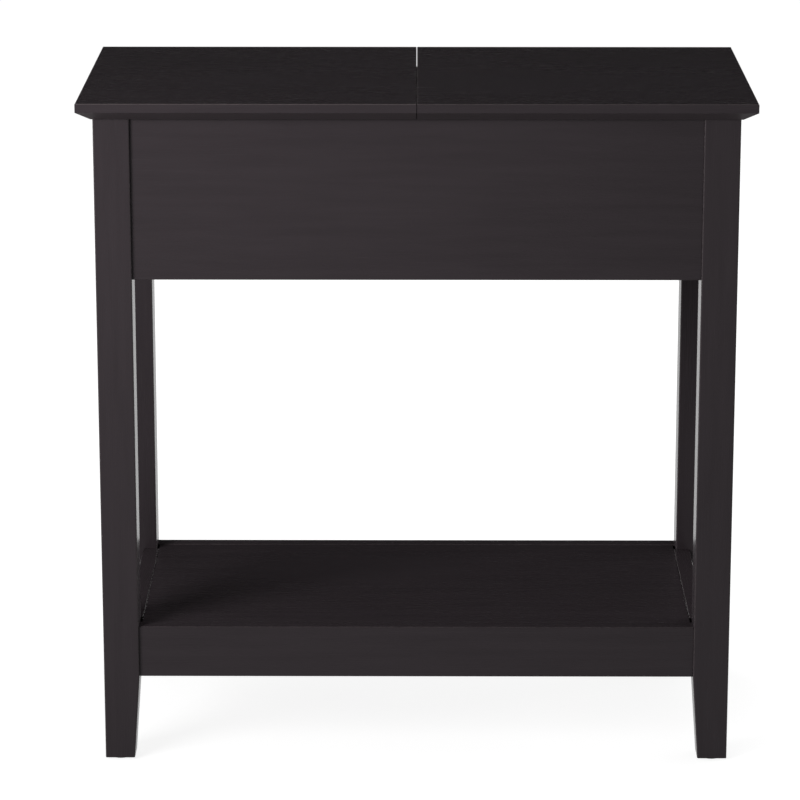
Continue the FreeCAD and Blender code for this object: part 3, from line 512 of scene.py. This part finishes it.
def screw_blank(name, head, shank_top, length):
    """The mesh of one screw along -Z with the top of its head at Z = 0."""
    profile = [(0.0, head[0][1])] + head
    height = shank_top
    profile.append((SHANK_RADIUS, height))
    tip = -length
    while height - THREAD_PITCH > tip + POINT_LENGTH:
        profile.append((SHANK_RADIUS * THREAD_ROOT, height - THREAD_PITCH / 2))
        profile.append((SHANK_RADIUS, height - THREAD_PITCH))
        height -= THREAD_PITCH
    profile.append((0.0, tip))
    body = to_object(name, revolved(profile))
    cutter = to_object(name + "_cutter", cross_cutter())
    cut = body.modifiers.new("recess", "BOOLEAN")
    cut.operation = "DIFFERENCE"
    cut.solver = "EXACT"
    cut.object = cutter
    graph = bpy.context.evaluated_depsgraph_get()
    mesh = bpy.data.meshes.new_from_object(body.evaluated_get(graph))
    for leftover in (body, cutter):
        bpy.data.objects.remove(leftover)
    return mesh


def islands(node):
    """The points of every separate solid in a node.

    The solids come in the order of their first points, which is the same in every run.
    """
    mesh = bmesh.new()
    mesh.from_mesh(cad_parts[node].data)
    bmesh.ops.remove_doubles(mesh, verts=mesh.verts, dist=SAME_POINT)
    left = set(mesh.verts)
    found = []
    for first in mesh.verts:
        if first not in left:
            continue
        left.remove(first)
        stack = [first]
        group = []
        while stack:
            vert = stack.pop()
            group.append(vert.co.copy())
            for edge in vert.link_edges:
                other = edge.other_vert(vert)
                if other in left:
                    left.remove(other)
                    stack.append(other)
        found.append(group)
    mesh.free()
    return found


def stand_of(points):
    """The middle of the top of a plain screw's head, and the way that it faces."""
    low = Vector([min(point[axis] for point in points) for axis in range(3)])
    high = Vector([max(point[axis] for point in points) for axis in range(3)])
    size = high - low
    middle = (low + high) / 2
    long_axis = max(range(3), key=lambda axis: size[axis])

    def off_axis(point):
        return sum((point[axis] - middle[axis]) ** 2 for axis in range(3) if axis != long_axis)

    widest = max(points, key=off_axis)
    outward = Vector((0, 0, 0))
    outward[long_axis] = 1 if widest[long_axis] > middle[long_axis] else -1
    return middle + outward * size[long_axis] / 2, outward


def screw_set(node, body, blank, look):
    """Screws that stand where a node's plain ones are, each turned a little differently."""
    mesh = bmesh.new()
    for number, points in enumerate(islands(node)):
        top, outward = stand_of(points)
        turn = Matrix.Rotation(math.radians(NEXT_TURN * number + FIRST_TURN), 4, "Z")
        stand = outward.to_track_quat("Z", "Y").to_matrix().to_4x4()
        copy = blank.copy()
        copy.transform(Matrix.Translation(top) @ stand @ turn)
        mesh.from_mesh(copy)
        bpy.data.meshes.remove(copy)
    made = to_object(f"{node}_detailed", mesh)
    made.data.materials.append(look)
    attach(made, body)
    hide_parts(node)


LONG_PAN = screw_blank("long_pan", PAN_HEAD, PAN_SHANK, length=0.0215)
SHORT_PAN = screw_blank("short_pan", PAN_HEAD, PAN_SHANK, length=0.0125)
SHORT_FLAT = screw_blank("short_flat", FLAT_HEAD, FLAT_SHANK, length=0.011)
for node, body, slot, blank, look in (
    ("floor_cleat_screws", "table", "zinc_plated_steel", LONG_PAN, zinc),
    ("shelf_cleat_screws", "table", "zinc_plated_steel", LONG_PAN, zinc),
    ("shelf_panel_screws", "table", "zinc_plated_steel", LONG_PAN, zinc),
    ("top_bracket_screws", "table", "zinc_plated_steel", SHORT_PAN, zinc),
    ("hinge_frame_screws", "table", "hinge_steel", SHORT_FLAT, nickel),
    ("hinge_lid_screws", "lid", "hinge_steel", SHORT_FLAT, nickel),
):
    screw_set(node, body, blank, look)


# ---------------------------------------------------------------- floor

WHITE = (1, 1, 1, 1)
FLOOR_SIDE = 60.0
FLOOR_COLOUR = (0.30, 0.30, 0.30, 1)
OPEN_GLOW = 0.985  # what the open floor shows by itself, so that it is white
# Under and close to the table the floor's glow is dimmed by ambient occlusion: a painted shade.
# This also lets the lamps' real shadow show there.
SHADED_GLOW = 0.865  # the same under and close to the table, so that its shadow stays
SHADE_REACH = 0.45
SHADE_SAMPLES = 16
SHADE_SPAN = (0.6, 0.97)  # how open the floor is, under the table and away from it

floor_mesh = bmesh.new()
bmesh.ops.create_grid(floor_mesh, x_segments=4, y_segments=4, size=FLOOR_SIDE / 2)
floor = to_object("floor", floor_mesh)
floor_look = bpy.data.materials.new("floor")
shade = Shade(floor_look)
seen = shade.seen()
plain = shade.add("ShaderNodeBsdfDiffuse")
shade.feed(plain, Color=FLOOR_COLOUR)
# Ambient occlusion dims the glow under and near the table: painted shade.
painted_shade = shade.add("ShaderNodeAmbientOcclusion", samples=SHADE_SAMPLES)
shade.feed(painted_shade, Distance=SHADE_REACH)
own = shade.span(painted_shade.outputs["AO"], *SHADE_SPAN, SHADED_GLOW, OPEN_GLOW)
glow = shade.add("ShaderNodeEmission")
shade.feed(glow, Color=WHITE, Strength=shade.math("MULTIPLY", seen, own))
both = shade.add("ShaderNodeAddShader")
shade.put(both.inputs[0], plain.outputs[0])
shade.put(both.inputs[1], glow.outputs[0])
shade.feed(shade.add("ShaderNodeOutputMaterial"), Surface=both.outputs[0])
floor.data.materials.append(floor_look)


# ---------------------------------------------------------------- world

SKY_SPAN = (-0.7, 0.7)  # from the camera's side to the far side
SKY_LIGHT = (0.14, 0.012)
HAZE_TOP = 0.022  # the sky is white up to this height above the horizon

world = bpy.data.worlds.new("world")
bpy.context.scene.world = world
shade = Shade(world)
direction = shade.add("ShaderNodeSeparateXYZ")
shade.feed(direction, Vector=shade.add("ShaderNodeTexCoord").outputs["Generated"])
facing = shade.span(direction.outputs["Y"], *SKY_SPAN, *SKY_LIGHT)
seen = shade.seen()
low = shade.span(direction.outputs["Z"], HAZE_TOP, 2 * HAZE_TOP, 1.0, 0.0)
haze = shade.math("MULTIPLY", seen, low)
strength = shade.math("MAXIMUM", facing, haze)
sky = shade.add("ShaderNodeBackground")
shade.feed(sky, Color=WHITE, Strength=strength)
shade.feed(shade.add("ShaderNodeOutputWorld"), Surface=sky.outputs[0])


# ---------------------------------------------------------------- lamps

MIDDLE = (0, 0, 0.38)
SPOT = (0, 0, 0.62)


def lamp(name, place, target, width, height, power, spread=180):
    """A soft lamp that faces a point.  Its power is in watts and its spread in degrees."""
    data = bpy.data.lights.new(name, "AREA")
    data.shape = "RECTANGLE"
    data.size = width
    data.size_y = height
    data.energy = power
    data.spread = math.radians(spread)
    made = bpy.data.objects.new(name, data)
    made.location = place
    made.rotation_euler = (Vector(place) - Vector(target)).to_track_quat("Z", "Y").to_euler()
    bpy.context.scene.collection.objects.link(made)


lamp("key", (-1.1, -1.05, 0.9), SPOT, 0.7, 0.7, 7.2, spread=100)
lamp("fill", (2.2, -2.0, 1.5), MIDDLE, 1.6, 1.6, 2.0)
lamp("above", (0.1, -0.2, 2.6), MIDDLE, 1.6, 1.6, 7)
lamp("right", (2.4, 0.5, 0.7), MIDDLE, 1.6, 1.0, 16)
lamp("behind_left", (-1.9, 1.8, 0.45), MIDDLE, 2.2, 0.8, 30)
lamp("behind_right", (1.9, 1.8, 0.45), MIDDLE, 2.2, 0.8, 30)
